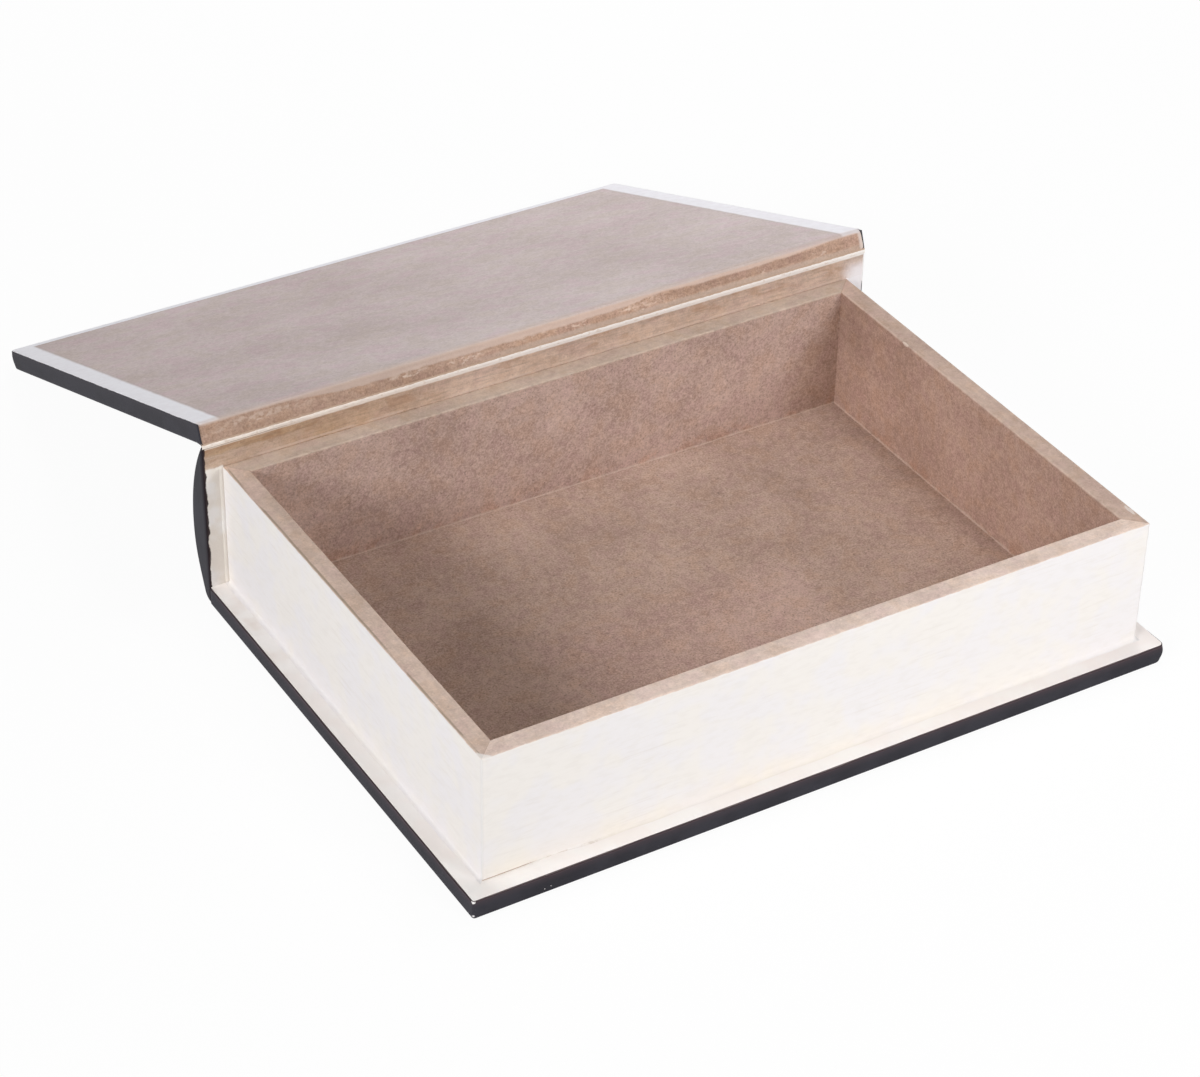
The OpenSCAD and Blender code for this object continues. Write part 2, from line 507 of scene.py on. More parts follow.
def base_board_finish():
    """The base board: raw board for the tray's floor, white paint on the ledges round the tray, with
    painted light and shade on both.
    """
    finish = Finish("base_board")
    place = finish.place()
    x, y, z = finish.axes(place)
    outside = (TRAY_HALF - abs(x)).least(y - TRAY_FORE_Y)
    ledge = outside.ramp(4.0, 3.0)
    raw, raw_height = raw_board(finish, place, RAW)
    # Painted shade towards the back of the floor, and painted light in its middle near the fore edge
    raw = finish.shaded(y.ramp(20, 70), raw, tint(249, 251, 252))
    paler = x.band(-5, 35, 40) * y.ramp(25, 0)
    raw = finish.shaded(paler, raw, scaled(tint(255, 252, 255), 1.12))

    clouds = finish.grain(place, 12, 2)
    paint = finish.mixed(clouds.ramp(0.35, 0.65), tint(255, 252, 249), tint(253, 247, 243))
    # Painted shade greying the ledges' paint towards the head
    paint = finish.shaded(x.ramp(20, 130), paint, tint(245, 243, 243))
    smear = y.band(72, 4, 30) * x.ramp(-142, -145) * clouds.ramp(0.35, 0.6)
    paint = finish.mixed(smear * 0.35, paint, tint(222, 207, 194))
    trimmed = z.ramp(FLOOR_Z - 0.05, FLOOR_Z - 0.2)
    paint = finish.mixed(trimmed * 0.9, paint, tint(74, 56, 58))
    colour = finish.mixed(ledge, raw, paint)
    height = raw_height * (1 - ledge) + clouds * ledge
    return finish.done(colour, RAW_ROUGHNESS - ledge * PAINT_SHEEN, finish.bump(height, 0.12), 0.2)


def golden_strip(finish, place, x, z, wander):
    """The strip of spine over the rim: golden board with saw streaks, and cream covering at its top.

    Painted shade darkens it towards the tail, less so low down at its end. Returns the colour and the height.
    """
    raw, height = raw_board(finish, place, GOLDEN, 0.4)
    streaks = finish.grain(finish.stretched(place, x=0.09), 0.8, 3, 0.3)
    raw = finish.mixed(streaks.ramp(0.48, 0.72) * 0.4, raw, scaled(GOLDEN, 0.6))
    raw = finish.mixed(streaks.ramp(0.44, 0.30) * 0.4, raw, scaled(GOLDEN, 1.25))
    patches = finish.grain(finish.stretched(place, x=0.4), 5, 4)
    upper = z.ramp(RIM_Z + 2.0, RIM_Z + 5.0)
    raw = finish.mixed(patches.ramp(0.50, 0.60) * upper * 0.35, raw, tint(178, 136, 106))
    # Painted shade towards the tail; lighter low down by the rim at its very end
    darker = finish.shaded(x.ramp(-25, -120), raw, tint(226, 215, 196))
    by_rim = (z + wander * 2).ramp(RIM_Z + 6.8, RIM_Z + 5.2) * (x + wander * 20).ramp(-98, -120)
    raw = finish.mixed(by_rim, darker, finish.shaded(1.0, raw, tint(236, 234, 230)))
    joint = (z + wander * 0.5).band(RIM_Z + 0.5, 0.3, 0.4) * patches.ramp(0.42, 0.52)
    raw = finish.mixed(joint * 0.4, raw, tint(224, 204, 190))
    lining = (z + wander * 0.5).ramp(case_hi.z - 1.6, case_hi.z - 0.8)
    raw = finish.mixed(lining, raw, finish.mixed(x.ramp(-90, 0), CREAM, PALE_CREAM))
    split = (z + wander * 0.3).band(case_hi.z - 0.75, 0.1, 0.2) * x.ramp(-100, -125)
    return finish.mixed(split * 0.7, raw, tint(150, 124, 104)), height


def spine_board_finish():
    """The spine's inner face: golden raw board over the rim, white paint at the two ends below it."""
    finish = Finish("spine_board")
    place = finish.place()
    x, y, z = finish.axes(place)
    wander = finish.grain(place, 4, 3) - 0.5
    end = (abs(x) + wander * 0.6).ramp(TRAY_HALF - 0.6, TRAY_HALF - 0.2)
    low = (z + wander * 1.6).ramp(RIM_Z + 0.5, RIM_Z - 0.3)
    smear = (x + wander * 6).ramp(TRAY_HALF - 4, TRAY_HALF + 4)
    smear = smear * (z + wander * 7).ramp(RIM_Z + 11, RIM_Z + 2) * 0.9
    painted = (end * low).most(smear)
    raw, raw_height = golden_strip(finish, place, x, z, wander)

    clouds = finish.grain(place, 10, 2)
    white = finish.mixed(clouds.ramp(0.38, 0.62), tint(240, 236, 233), tint(232, 224, 215))
    at_head = x.ramp(0, 1)
    white = finish.mixed(at_head, white, tint(250, 244, 246))
    colour = finish.mixed(painted, raw, white)
    trimmed_at = HALF_LENGTH - 1.0 + at_head * 2
    frayed = (abs(x) + wander * 2.2 - trimmed_at).ramp(-0.2, 0.2)
    colour = finish.mixed(frayed, colour, tint(52, 40, 42))
    return finish.done(colour, RAW_ROUGHNESS - painted * PAINT_SHEEN, finish.bump(raw_height, 0.15), 0.2)


def lid_face(finish, place, x, y, wander):
    """The lid's inner face: smooth pinkish board, framed in white paint at its ends and fore edge, the
    frame greyed by painted shade towards the head.

    Returns the colour, the frame's mask and the fibres.
    """
    from_end = HALF_LENGTH - abs(x) + wander * 0.8
    from_fore = y - FORE_Y + wander * 0.8
    framed = from_end.ramp(END_BORDER + 0.9, END_BORDER - 0.9)
    framed = framed.most(from_fore.ramp(FORE_BORDER + 0.4, FORE_BORDER - 0.4))
    beside = from_end.ramp(END_BORDER + 1.3, END_BORDER + 0.5)
    beside = beside.most(from_fore.ramp(FORE_BORDER + 1.3, FORE_BORDER + 0.5))
    hue = finish.grain(place, 11, 4)
    mottle = finish.grain(place, 3.2, 3, 0.4)
    fibres = finish.grain(place, 0.9, 2, 0.5)
    shade = finish.grain(place, 60, 2) * 0.6 + mottle * 0.4 + fibres * 0.7
    face = finish.mixed(shade.ramp(0.50, 1.20), tint(189, 173, 170), tint(218, 204, 202))
    face = finish.shaded(hue.ramp(0.50, 0.62) * 0.6, face, tint(250, 249, 243))
    face = finish.shaded(hue.ramp(0.50, 0.38) * 0.6, face, tint(255, 245, 252))
    face = finish.mixed(beside * (1 - framed) * 0.3, face, tint(158, 142, 138))
    white = finish.mixed(mottle.ramp(0.35, 0.7), tint(250, 249, 254), tint(245, 243, 248))
    # Painted shade greying the frame towards the head
    white = finish.shaded(x.ramp(-60, 60), white, tint(244, 243, 244))
    face = finish.mixed(framed, face, white)
    from_hinge = lid_hi.y - y
    face = finish.mixed((from_hinge + wander * 3).ramp(5.0, 0.6) * 0.5, face, tint(214, 194, 182))
    return face, framed, fibres


def lid_sawn_side(finish, place, x, depth, wander):
    """The lid's side at the hinge: sawn and torn board, paler at the arris of the inner face, with
    painted shade towards the tail and in a band at mid depth near the head.

    Returns the colour and the height.
    """
    raw, height = raw_board(finish, place, SAWN, 0.8)
    tufts = finish.grain(finish.stretched(place, x=0.5), 1.5, 3, 0.6)
    patches = finish.grain(finish.stretched(place, x=0.35), 6, 3)
    light = (depth + wander * 2.5).band(3.6, 0.8, 1.6) * patches.ramp(0.42, 0.58)
    light = light * x.ramp(80, 40)
    raw = finish.mixed(light * tufts.ramp(0.42, 0.60) * 0.65, raw, tint(228, 203, 186))
    greyed = (depth + wander * 1.2).ramp(5.6, 6.8) * x.band(60, 60, 60)
    raw = finish.mixed(greyed * 0.5, raw, tint(204, 188, 176))
    torn = patches.ramp(0.52, 0.62) * (abs(depth - 5.5) + wander * 3).ramp(1.6, 0.8)
    raw = finish.mixed(torn * tufts.ramp(0.52, 0.62) * 0.6, raw, tint(236, 216, 200))
    # Painted shade in a band at mid depth near the head
    middle = (depth + wander * 0.8).band(4.2, 1.0, 0.8) * x.band(95, 20, 35)
    raw = finish.shaded(middle, raw, tint(238, 237, 238))
    widening = ((x + wander * 20).band(-28, 55, 35) * 2.4).most(x.band(90, 20, 30) * 1.5)
    arris = (depth + wander * 1.6 - widening).ramp(1.6, 0.6)
    raw = finish.mixed(arris * 0.8, raw, tint(224, 201, 188))
    # Painted shade towards the tail
    raw = finish.shaded(x.ramp(20, -80), raw, tint(234, 235, 236))
    head_end = (x + wander * 0.8).ramp(147.4, 148.8)
    return finish.mixed(head_end * 0.6, raw, tint(240, 228, 222)), height


def lid_board_finish():
    """The lid: smooth face and white frame inside, golden sawn fuzz on its side at the hinge."""
    finish = Finish("lid_board")
    place = finish.place(shut=True)
    x, y, z = finish.axes(place)
    wander = finish.grain(place, 7, 4) - 0.5
    depth = z - lid_lo.z
    face, framed, fibres = lid_face(finish, place, x, y, wander)
    raw, raw_height = lid_sawn_side(finish, place, x, depth, wander)
    turns_at = x.ramp(-70, 110) * 0.7 + wander * 0.7
    inner = (depth - turns_at).ramp(0.9, 0.1)
    colour = finish.mixed(inner, raw, face)
    height = raw_height * (1 - inner) + fibres * inner * 0.3
    return finish.done(colour, 0.76 - framed * inner * 0.1, finish.bump(height, 0.14), 0.1)


def covering_finish(name, trim_axis, trim_at, edge, edge_width, chips=(), shut=False):
    """Charcoal covering: a fine pebbled grain with a satin sheen, of another shade beside its trim.

    edge is that shade, edge_width how far it reaches from the trim, and chips are (centre, size).
    """
    finish = Finish(name)
    place = finish.place(shut)
    along = dict(zip("xyz", finish.axes(place)))[trim_axis]
    pebbles = finish.grain(place, 0.55, 2, 0.4)
    clouds = finish.grain(place, 18, 3)
    specks = finish.grain(place, 0.9, 1)
    colour = finish.mixed(clouds.ramp(0.35, 0.65), scaled(BLACK, 0.85), scaled(BLACK, 1.15))
    from_trim = abs(along - trim_at) + clouds * 1.5 + pebbles * 0.6
    colour = finish.mixed(from_trim.ramp(edge_width + 4.0, edge_width + 1.2) * 0.3, colour, edge)
    colour = finish.mixed(from_trim.ramp(edge_width + 1.4, edge_width + 0.8) * 0.6, colour, edge)
    colour = finish.mixed(specks.ramp(0.80, 0.84) * 0.4, colour, tint(120, 116, 116))
    for centre, size in chips:
        colour = finish.mixed(finish.blot(place, centre, size), colour, tint(245, 241, 240))
    return finish.done(colour, 0.52 + clouds * 0.12, finish.bump(pebbles, 0.07), 0.08)


def lining_finish():
    """Cream backing of the covering where it is left free as the hinge."""
    finish = Finish("hinge_lining")
    place = finish.place(shut=True)
    x, y, z = finish.axes(place)
    threads = finish.grain(finish.stretched(place, x=0.3), 0.7, 3)
    wander = finish.grain(place, 3, 3) - 0.5
    colour = finish.mixed(threads.ramp(0.35, 0.65), scaled(CREAM, 0.92), scaled(CREAM, 1.06))
    colour = finish.mixed(x.ramp(-90, 0) * 0.8, colour, PALE_CREAM)
    colour = finish.mixed(wander.ramp(0.05, 0.15) * 0.35, colour, tint(214, 192, 168))
    # Tan along its edge at the lid: golden fibres lying over it, and painted shade
    fibres_and_shade = (z + wander * 0.8).ramp(lid_skin_hi.z + 0.35, lid_skin_hi.z + 0.1)
    colour = finish.mixed(fibres_and_shade, colour, tint(196, 170, 150))
    return finish.done(colour, 0.7, finish.bump(threads, 0.08), 0.2)


def uneven(seed, x, y=0.0, z=0.0):
    """Smooth noise from about -1 to 1 with bumps about 1 wide, the same on every run.

    Each seed reads another stretch of it.
    """
    return noise.noise(Vector((x + 17.3 * seed, y - 9.1 * seed, z + 5.7 * seed)))


def lumps(seed, x, y=0.0, z=0.0):
    """The same noise, from about 0 to 1."""
    return 0.5 + 0.5 * uneven(seed, x, y, z)


def eased(height, radius):
    """How far an arc of that radius has drawn in, at a height from where it starts."""
    if height >= radius:
        return 0.0
    return radius - math.sqrt(max(radius * radius - (radius - height) ** 2, 0.0))


def spread(start, end, count):
    """Evenly spaced numbers from start to end, both included."""
    return [start + (end - start) * step / (count - 1) for step in range(count)]


def smooth_step(value, low, high):
    """0 below low, 1 above high, smooth between."""
    share = min(max((value - low) / (high - low), 0.0), 1.0)
    return share * share * (3 - 2 * share)


def loft(rings, closed=True, first_cap=True, kinds=None):
    """A mesh through rings of as many points each, closed by a face over the last and the first ring.

    Rings that aren't closed leave the sheet open between their two ends. kinds, if given, holds the
    material's number for each stretch of the ring.
    """
    mesh = bmesh.new()
    rows = [[mesh.verts.new(point) for point in ring] for ring in rings]
    for near, far in zip(rows, rows[1:]):
        count = len(near)
        for index in range(count if closed else count - 1):
            after = (index + 1) % count
            face = mesh.faces.new((near[index], near[after], far[after], far[index]))
            if kinds is not None:
                face.material_index = kinds[index]
    if first_cap:
        mesh.faces.new(rows[0][::-1])
    mesh.faces.new(rows[-1])
    return mesh


def face_outwards(mesh):
    """Turns the faces of a solid or of an open skin to look away from its middle."""
    bmesh.ops.recalc_face_normals(mesh, faces=mesh.faces)
    low, high = box_round([v.co for v in mesh.verts])
    middle = (low + high) / 2
    facing = sum((f.calc_center_median() - middle).dot(f.normal) * f.calc_area() for f in mesh.faces)
    if facing < 0:
        bmesh.ops.reverse_faces(mesh, faces=mesh.faces)


def add_piece(name, mesh, body, node, materials, sharp=35, turn=None, skin=False):
    """Turns a bmesh into a finished piece that stands for a CAD node and rides on its body.

    sharp is the angle in degrees over which an edge stays crisp, and turn moves the mesh to its place.
    A skin is given the covering's thickness, inwards.
    """
    mesh.transform(Matrix.Scale(MM, 4) @ (turn or Matrix()))
    mesh.normal_update()
    face_outwards(mesh)
    data = bpy.data.meshes.new(name)
    mesh.to_mesh(data)
    mesh.free()
    for material in materials:
        data.materials.append(material)
    for face in data.polygons:
        face.use_smooth = True
    data.set_sharp_from_angle(angle=math.radians(sharp))
    piece = bpy.data.objects.new(name, data)
    bpy.context.scene.collection.objects.link(piece)
    if body is not None:
        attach(piece, body)
    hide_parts(node)
    if skin:
        clear_of_board = 0.95
        shell = piece.modifiers.new("thickness", "SOLIDIFY")
        shell.thickness = SKIN * clear_of_board * MM
        shell.offset = -1
    return piece


def around(centre, radius, start, end):
    """Points of an arc in plan, from one angle to another in degrees."""
    turns = [math.radians(angle) for angle in spread(start, end, 9)]
    return [centre + radius * Vector((math.cos(turn), math.sin(turn), 0)) for turn in turns]


def board_plan(half, fore, hinge_y, corners):
    """Plan of a cover board's free sides: down its tail end, along the fore edge and up its head end."""
    along_end = 150
    along_fore = 210
    tail, head = corners
    tail_centre = Vector((tail - half, fore + tail, 0))
    head_centre = Vector((half - head, fore + head, 0))
    points = [Vector((-half, y, 0)) for y in spread(hinge_y, tail_centre.y, along_end)][:-1]
    points += around(tail_centre, tail, 180, 270)
    points += [Vector((x, fore, 0)) for x in spread(tail_centre.x, head_centre.x, along_fore)][1:-1]
    points += around(head_centre, head, 270, 360)
    points += [Vector((half, y, 0)) for y in spread(head_centre.y, hinge_y, along_end)][1:]
    return points


def hinge_side_points(half, hinge_y, count):
    """Points along a board's hinge side, from the head back to the tail, its corners left out."""
    return [Vector((x, hinge_y, 0)) for x in spread(half, -half, count)][1:-1]


def corners_at(depth, thickness, worn, inset):
    """Plan radii of the fore corners at a depth, on a ring that lies inset from the board's sides.

    They are sharp in mid thickness, half worn at the inner face and fully worn at the outer one.
    """
    smallest = 0.25
    below_face = smooth_step(depth, 0, thickness * 0.35)
    towards_back = smooth_step(depth, thickness * 0.45, thickness)
    share = towards_back + 0.5 - 0.5 * below_face
    full = [SHARP_CORNER + (radius - SHARP_CORNER) * share for radius in worn]
    return [max(radius - inset, smallest) for radius in full]


def cover_board(hinge_y, thickness, arrises, worn, hinge_ease, fuzz, stations):
    """A cover board lying inner face up, without its covering, as rings from the inner face down.

    The inner face is at z = 0. hinge_ease(x) is the radius of the inner arris at the hinge side, and
    fuzz(x, depth) is how far the sawn hinge side stands in from its plane.
    """
    radius = max(arrises) - SKIN
    near_face = [0.0, 0.1, 0.25, 0.45, 0.7, 1.0, 1.4]
    between = spread(1.8, thickness - radius - 0.3, 10)
    near_back = [thickness - radius * (1 - math.sin(math.radians(a))) for a in range(0, 91, 15)]
    rings = []
    for depth in near_face + between + near_back:
        end_in, fore_in = [SKIN + eased(thickness - depth, arris - SKIN) for arris in arrises]
        corners = corners_at(depth, thickness, worn, max(end_in, fore_in))
        ring = board_plan(HALF_LENGTH - end_in, FORE_Y + fore_in, hinge_y, corners)
        ring += hinge_side_points(HALF_LENGTH - end_in, hinge_y, stations)
        for point in ring:
            if point.y > hinge_y - 0.01:
                point.y -= eased(depth, hinge_ease(point.x)) + fuzz(point.x, depth)
            point.z = -depth
        rings.append(ring)
    return loft(rings)


def cover_skin(side_y, face_y, thickness, arrises, worn, ragged, seed):
    """The covering of a cover board lying inner face up, its inner face at z = 0.

    A thin sheet from its trim, over the rounded arris and across the outer face. Towards the hinge its
    sides end at side_y and its outer face at face_y. ragged is how unevenly it was trimmed.
    """
    height = thickness + SKIN
    levels = [0.0, 0.2, 0.5, 1.0, 1.8, 2.8, 3.8, 4.8]
    levels += [height - max(arrises) * (1 - math.sin(math.radians(a))) for a in range(0, 91, 10)]
    rings = []
    for depth in levels:
        end_in, fore_in = [eased(height - depth, arris) for arris in arrises]
        corners = corners_at(depth, height, worn, max(end_in, fore_in))
        end_y = side_y + (face_y - side_y) * smooth_step(end_in, arrises[0] * 0.86, arrises[0])
        ring = board_plan(HALF_LENGTH - end_in, FORE_Y + fore_in, end_y, corners)
        trim = 1 - smooth_step(depth, 0.1, 2.6)
        for point in ring:
            slow = uneven(seed, point.x / 15, point.y / 15)
            quick = uneven(seed + 1, point.x / 2.4, point.y / 2.4)
            point.z = -depth - trim * (ragged * (1.0 + slow) + 0.13 * (1.0 + quick))
        rings.append(ring)
    past_arris = 1.2
    last_corners = (1.5, 1.5)
    end_in, fore_in = [arris + past_arris for arris in arrises]
    last = board_plan(HALF_LENGTH - end_in, FORE_Y + fore_in, face_y, last_corners)
    for point in last:
        point.z = -height
    rings.append(last)
    return loft(rings, closed=False, first_cap=False)


def no_ease(x):
    """A board's inner arris at the hinge side, left sharp."""
    return 0.0


def no_fuzz(x, depth):
    """A board's hinge side, left plain."""
    return 0.0


def wall_rings(wall):
    """Rings of one tray wall in its own frame: x along it, y in from its outer face, z up from its foot."""
    arc = [math.radians(angle) for angle in (45, 30, 15, 0)]
    stations = [(wall.half - TRAY_ARRIS * (1 - math.sin(a)), TRAY_ARRIS * (1 - math.cos(a))) for a in arc]
    stations += [(x, 0.0) for x in spread(wall.half - TRAY_ARRIS - 1.0, 0.0, 60)]
    end_x = stations[0][0]
    rings = [wall_ring(wall, -1, x, x / end_x, eased_by) for x, eased_by in stations]
    rings += [wall_ring(wall, 1, x, x / end_x, eased_by) for x, eased_by in stations[-2::-1]]
    return rings


def wall_ring(wall, side, x, share, eased_by):
    """One cross-section of a wall, x from its middle towards the end on that side.

    share is how far along the half wall it lies, 1 at the mitre, towards which its inner points are
    drawn. eased_by is how far the corner's arris stands in from the outer face there.
    """
    height = RIM_Z - FLOOR_Z
    rows = int((height - RIM_ROUND - 1.0) / PAGE_ROW)
    outer = [0.0, 0.12, 0.25, 0.4, 0.6] + spread(0.9, height - RIM_ROUND, rows)
    inner = spread(height - RIM_ROUND, 2.5, 16) + [1.6, 1.0, 0.6, 0.35, 0.15, 0.0]
    arc = [math.radians(angle) for angle in (22.5, 45, 67.5, 90)]
    along = side * x
    wave = 0.12 * lumps(wall.seed, along / 30, 3.0)
    slump = 0.06 * (1 - smooth_step(wall.half - x, 0.0, 0.7))
    top = height - wave - slump
    freely = smooth_step(wall.half - WALL - x, 0.0, 4.0)

    ring = []
    for z in outer:
        depth = eased_by + page_relief(wall, along, z) - foot_paint(wall, along, z)
        ring.append((depth, min(z, top - RIM_ROUND)))
    rim = [(RIM_ROUND * (1 - math.cos(a)), top - RIM_ROUND * (1 - math.sin(a))) for a in arc]
    ring += [(eased_by + inwards, z) for inwards, z in rim]
    ring += [(WALL - inwards, z) for inwards, z in reversed(rim)]
    for z in inner:
        unevenness = 0.05 * uneven(wall.seed + 5, along / 7, z / 6) * freely
        bead = eased(z, 0.5) * (0.7 + 0.5 * uneven(wall.seed + 6, along / 2.5) * freely)
        ring.append((WALL - 0.05 + unevenness + bead, min(z, top - RIM_ROUND)))

    points = []
    for index, (depth, z) in enumerate(ring):
        mitre_x = wall.half - depth
        reach = share * mitre_x
        if index < len(outer) + len(arc) and depth < 2:
            reach = x + max(-depth, 0.0) * smooth_step(x, wall.half - 3, wall.half)
        points.append(Vector((side * min(reach, mitre_x), depth, z)))
    return points


def page_relief(wall, along, z):
    """How deep the painted page lines are cut at a spot of a wall's outer face."""
    line = lumps(wall.seed, along / 46, z / 0.75, 1.0)
    patch = lumps(wall.seed + 3, along / 30, z / 9)
    return PAGE_DEPTH * line * (0.35 + 0.65 * patch) * smooth_step(z, 0.6, 1.6)


def foot_paint(wall, along, z):
    """How far paint swells out at a wall's foot; less than nothing where the joint stands open."""
    if wall.node == "spine_side_wall":
        return 0.0
    swelling = eased(z, PAINT_FILLET * (1 + 0.3 * uneven(wall.seed + 8, along / 12)))
    if wall.node != "fore_edge_wall":
        return swelling
    shut = smooth_step(along, -116, -98)
    gap = 0.3 * (1 - shut) * max(0.0, 0.7 + 0.8 * uneven(wall.seed, along / 9, 2.0))
    return swelling * shut - gap * (1 - smooth_step(z, 0.12, 0.4))


def tray_walls():
    """The four mitred walls, each turned from its own frame to its side of the tray."""
    side_half = (back_hi.y - front_lo.y) / 2
    middle_y = (back_hi.y + front_lo.y) / 2
    pale_joint = (0.5, tint(236, 216, 202))
    dark_joint = (0.2, tint(138, 100, 84))
    # Each inner_shade holds the inside's own tone and painted light and shade for that wall
    walls = [
        Wall("fore_edge_wall", "page_paint", seed=1, half=TRAY_HALF, along="x", angle=0,
             foot=(0, front_lo.y), rim_colour=tint(230, 211, 199), inner_shade=tint(232, 227, 224),
             mitre=pale_joint, marks=fore_edge_marks),
        Wall("spine_side_wall", "fibreboard", seed=2, half=TRAY_HALF, along="x", angle=180,
             foot=(0, back_hi.y), rim_colour=tint(194, 177, 163),
             inner_shade=scaled(tint(251, 243, 248), 1.07), mitre=dark_joint, marks=spine_side_shadow),
        Wall("head_wall", "page_paint", seed=3, half=side_half, along="y", angle=90,
             foot=(TRAY_HALF, middle_y), rim_colour=tint(199, 176, 162), inner_shade=tint(238, 229, 227),
             mitre=dark_joint, marks=head_marks_and_shade),
        Wall("tail_wall", "page_paint", seed=4, half=side_half, along="y", angle=-90,
             foot=(-TRAY_HALF, middle_y), rim_colour=tint(212, 191, 177), inner_shade=tint(231, 228, 225),
             mitre=dark_joint, marks=tail_marks),
    ]
    for wall in walls:
        mesh = loft(wall_rings(wall))
        turn = Matrix.Translation((*wall.foot, FLOOR_Z)) @ Matrix.Rotation(math.radians(wall.angle), 4, "Z")
        finish = wall_finish(wall)
        add_piece(wall.node + "_sawn", mesh, "box", wall.node, [finish], sharp=40, turn=turn)


def spine_profile(inset, start_y):
    """The spine's back as a line from its top inner arris round to its foot, inset from the covering."""
    top = case_hi.z
    foot_y = BACK_Y + math.sqrt((BACK_RADIUS - SPINE_FOOT) ** 2 - (CROWN_Z - SPINE_FOOT) ** 2)
    highest = math.asin((top - inset - CROWN_Z) / (BACK_RADIUS - inset))
    outward = math.atan2(SPINE_FOOT - CROWN_Z, foot_y - BACK_Y)
    ease = 0.5
    points = [Vector((0, start_y, top - inset))]
    points.append(Vector((0, BACK_Y + (BACK_RADIUS - inset) * math.cos(highest) - ease, top - inset)))
    for angle in spread(highest - ease / BACK_RADIUS, outward, 44):
        spot = Vector((0, math.cos(angle), math.sin(angle))) * (BACK_RADIUS - inset)
        points.append(Vector((0, BACK_Y, CROWN_Z)) + spot)
    for angle in spread(outward, -math.pi / 2, 9)[1:]:
        spot = Vector((0, math.cos(angle), math.sin(angle))) * (SPINE_FOOT - inset)
        points.append(Vector((0, foot_y, SPINE_FOOT)) + spot)
    points.append(Vector((0, SPINE_Y, inset)))
    return points


def spine_outline(from_end, inset, start_y):
    """The spine's back at a distance from its end, where its arris is crisp above and soft at the foot."""
    crisp = spine_profile(inset + eased(from_end - inset, 1.0 - inset), start_y)
    soft = spine_profile(inset + eased(from_end - inset, ARRIS - inset), start_y)
    return [a.lerp(b, 1 - smooth_step(a.z, 5, 24)) for a, b in zip(crisp, soft)]


def paint_bead(x, z):
    """How far the paint stands out in the corner between the spine and a side wall of the tray."""
    across = (abs(x) - TRAY_HALF - 0.4) / 0.9
    if abs(across) >= 1 or z > RIM_Z:
        return 0.0
    swelling = 0.55 + 0.15 * uneven(13, x / 40, z / 7) + 0.35 * (1 - smooth_step(z, FLOOR_Z + 1, FLOOR_Z + 5))
    return swelling * math.sqrt(1 - across * across) * smooth_step(z, FLOOR_Z, FLOOR_Z + 0.4)


def spine_board_piece():
    """The spine board, its flat face sawn over the rim and beaded with paint beside the tray."""
    near_end = spread(TRAY_HALF - 0.6, TRAY_HALF + 1.4, 13)
    near_end += [HALF_LENGTH - SKIN - step for step in (4, 1.8, 1.4, 1.0, 0.7, 0.45, 0.25, 0.1, 0)]
    middle = spread(-TRAY_HALF + 1.5, TRAY_HALF - 1.5, 150)
    rings = []
    for x in [-x for x in reversed(near_end)] + middle + near_end:
        outline = spine_outline(HALF_LENGTH - abs(x), SKIN, SPINE_Y)
        ring = [Vector((x, p.y, p.z)) for p in outline]
        for z in spread(outline[-1].z, outline[0].z, 90)[1:-1]:
            sawn = 0.0
            if z > RIM_Z + 0.3:
                sawn = 0.16 * lumps(11, x / 4, z / 0.8)
            ring.append(Vector((x, SPINE_Y + sawn - paint_bead(x, z), z)))
        rings.append(ring)
    board = loft(rings)
    add_piece("spine_board_shaped", board, "box", "spine_board", [spine_board_finish()])


def spine_covering_piece():
    """The covering over the spine's back, foot and ends, chipped at the head and at the tail."""
    near = [0.0, 0.05, 0.15, 0.3, 0.5, 0.75, 1.05, 1.4, 1.8, ARRIS]
    stations = [step - HALF_LENGTH for step in near] + spread(-HALF_LENGTH + 4, HALF_LENGTH - 4, 60)
    stations += [HALF_LENGTH - step for step in reversed(near)]
    rings = []
    for x in stations:
        outline = spine_outline(HALF_LENGTH - abs(x), 0.0, SPINE_Y + 0.03)
        rings.append([Vector((x, p.y, p.z)) for p in outline])
    skin = loft(rings, closed=False)
    chips = [
        ((-HALF_LENGTH, SPINE_Y + 8.8, 56.0), (0.5, 0.4, 0.6)),
        ((HALF_LENGTH, SPINE_Y, RIM_Z + 4), (1.6, 1.1, 10)),
    ]
    finish = covering_finish("spine_covering", trim_axis="y", trim_at=SPINE_Y,
                             edge=tint(38, 27, 31), edge_width=0.6, chips=chips)
    add_piece("spine_covering_wrapped", skin, "box", "spine_covering", [finish], skin=True)


def base_pieces():
    """The base board and its covering."""
    place = Matrix.Translation((0, 0, FLOOR_Z))
    thickness = FLOOR_Z - base_lo.z
    board = cover_board(SPINE_Y, thickness, BASE_ARRISES, BASE_CORNERS,
                        hinge_ease=no_ease, fuzz=no_fuzz, stations=60)
    add_piece("base_board_cut", board, "box", "base_board", [base_board_finish()], turn=place)
    skin = cover_skin(SPINE_Y, SPINE_Y, thickness, BASE_ARRISES, BASE_CORNERS,
                      ragged=BASE_TRIM, seed=21)
    corner = Vector((-HALF_LENGTH + 0.5, FORE_Y + 0.5, 0))
    chips = [
        (corner + Vector((0, 0, FLOOR_Z - 0.4)), (0.9, 0.9, 1.0)),
        (corner + Vector((0.2, 0.2, 1.6)), (0.7, 0.7, 0.9)),
        (Vector((-121.5, FORE_Y, 2.2)), (0.24, 0.5, 0.2)),
        (Vector((-119.0, FORE_Y, 2.6)), (0.2, 0.5, 0.18)),
    ]
    finish = covering_finish("base_covering", trim_axis="z", trim_at=FLOOR_Z,
                             edge=tint(84, 68, 73), edge_width=1.1, chips=chips)
    add_piece("base_covering_wrapped", skin, "box", "base_covering", [finish],
              turn=place, skin=True)


